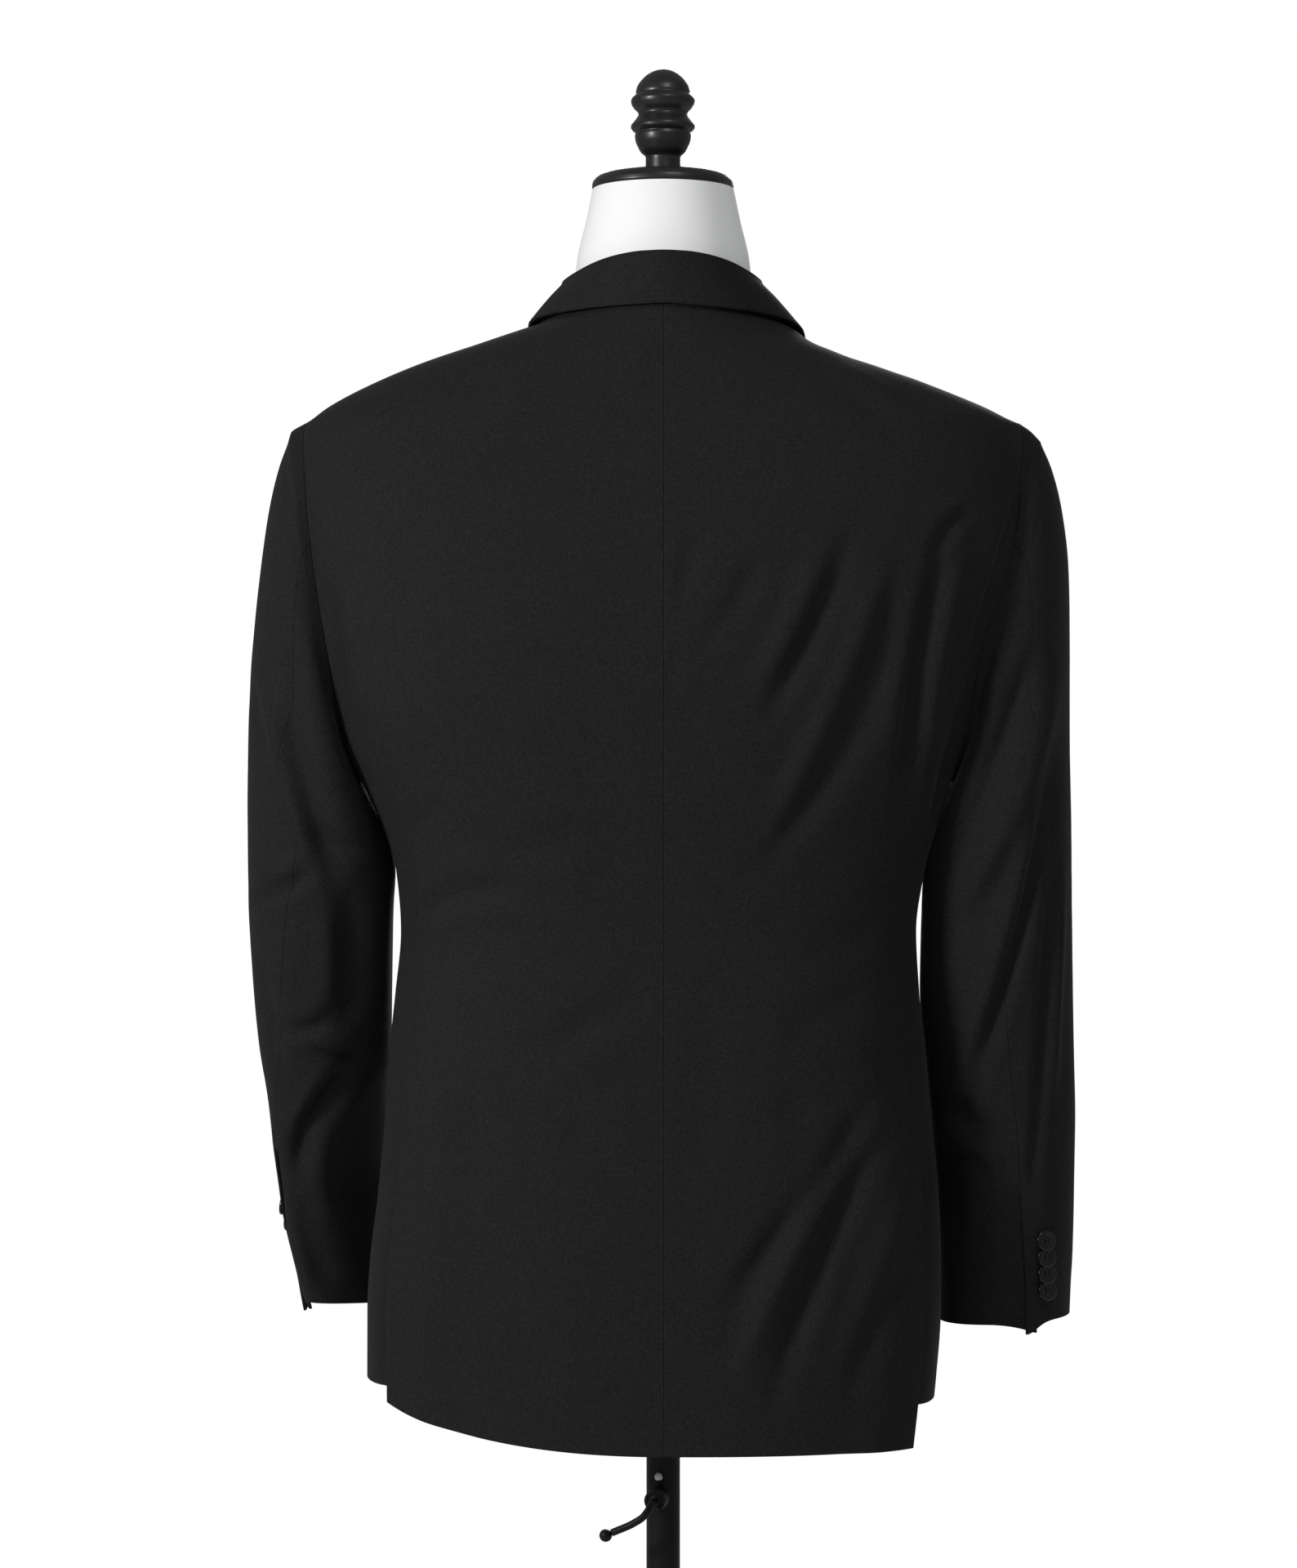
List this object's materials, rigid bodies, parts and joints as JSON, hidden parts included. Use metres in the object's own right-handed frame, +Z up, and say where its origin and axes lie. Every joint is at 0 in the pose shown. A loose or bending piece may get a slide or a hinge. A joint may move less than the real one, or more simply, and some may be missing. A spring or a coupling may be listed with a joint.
{
  "type": "wool blazer on a dress form",
  "caption": "Single-breasted wool blazer with notch lapels and double vents, worn by a limbless dress form on a pole stand.",
  "frame": {"origin": "on the floor, at the centre of the base and on the pole's axis", "axes": "+Z up along the pole, -Y the way the coat faces, +X the coat's left"},
  "size_m": [0.5657, 0.35, 1.686],
  "materials": {
    "wool": "fine worsted, matt with a faint sheen",
    "horn": "satin",
    "form_cloth": "smooth white jersey",
    "satin_black": "satin black lacquer",
    "steel_black": "semi-gloss black",
    "screw_steel": "bright"
  },
  "bodies": {
    "stand": {"base": "steel_black", "foot_socket": "steel_black", "outer_tube": "steel_black", "clamp_boss": "steel_black", "clamp_screw": "screw_steel"},
    "lever": {"clamp_lever": "steel_black", "lever_ball": "steel_black"},
    "pole": {"inner_pole": "steel_black"},
    "figure": {"back_left": "wool", "side_left": "wool", "front_left": "wool", "lapel_left": "wool", "flap_left": "wool", "sleeve_top_left": "wool", "sleeve_under_left": "wool", "back_right": "wool", "side_right": "wool", "front_right": "wool", "lapel_right": "wool", "flap_right": "wool", "sleeve_top_right": "wool", "sleeve_under_right": "wool", "collar": "wool", "breast_welt": "wool", "cuff_button_left_1": "horn", "cuff_button_left_2": "horn", "cuff_button_left_3": "horn", "cuff_button_left_4": "horn", "cuff_button_right_1": "horn", "cuff_button_right_2": "horn", "cuff_button_right_3": "horn", "cuff_button_right_4": "horn", "front_button_1": "horn", "front_button_2": "horn", "form_torso": "form_cloth", "neck_cap": "satin_black", "finial": "satin_black"}
  },
  "joints": [
    {"name": "height_slide", "type": "slide", "parent": "stand", "child": "pole", "axis": [0, 0, 1], "range_m": [-0.02, 0.2]},
    {"name": "form_swivel", "type": "hinge", "parent": "pole", "child": "figure", "pos_m": [0, 0, 0.83], "axis": [0, 0, 1], "continuous": true},
    {"name": "clamp_turn", "type": "hinge", "parent": "stand", "child": "lever", "pos_m": [0.00605, 0.02426, 0.717], "axis": [0.2419, 0.9703, 0], "continuous": true}
  ]
}
